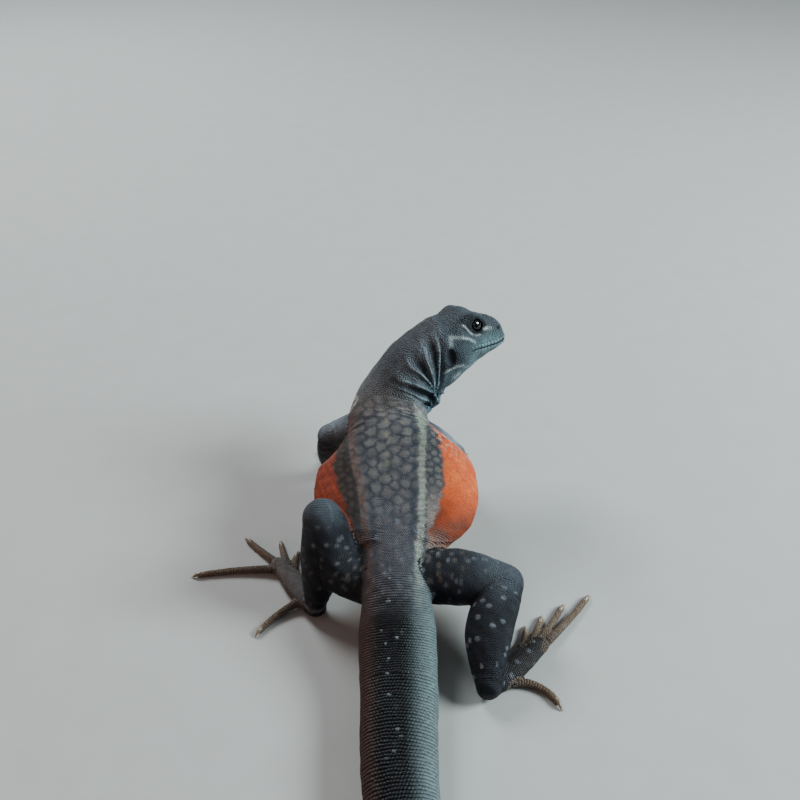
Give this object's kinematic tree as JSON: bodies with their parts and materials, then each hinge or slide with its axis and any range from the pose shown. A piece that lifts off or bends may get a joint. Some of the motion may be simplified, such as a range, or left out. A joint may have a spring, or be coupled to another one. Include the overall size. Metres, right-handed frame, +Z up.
{
  "type": "red-banded butterfly lizard",
  "caption": "Life-size still model of an adult male butterfly lizard resting on all fours, ribs spread, head turned to its right, long tail laid out behind it.",
  "frame": {"origin": "on the floor, under the middle of the whole model's box", "axes": "+Z up, +Y the way the trunk points from tail to shoulders, +X to the animal's right"},
  "size_m": [0.147, 0.3554, 0.0724],
  "materials": {
    "body_skin": "fine granular scales, satin",
    "head_skin": "small smooth scales, satin",
    "foot_skin": "small plates under and over the toes, satin",
    "eyes": "wet gloss"
  },
  "bodies": {
    "root": {"head": "head_skin", "eye_left": "eyes", "eye_right": "eyes", "neck": "body_skin", "torso": "body_skin", "tail_base": "body_skin", "tail_middle": "body_skin", "tail_end": "body_skin", "tail_tip": "body_skin", "thigh_left": "body_skin", "thigh_right": "body_skin", "shank_left": "body_skin", "shank_right": "body_skin", "foot_left": "foot_skin", "foot_right": "foot_skin", "upper_arm_left": "body_skin", "upper_arm_right": "body_skin", "forearm_left": "body_skin", "forearm_right": "body_skin", "hand_left": "foot_skin", "hand_right": "foot_skin"}
  },
  "joints": []
}
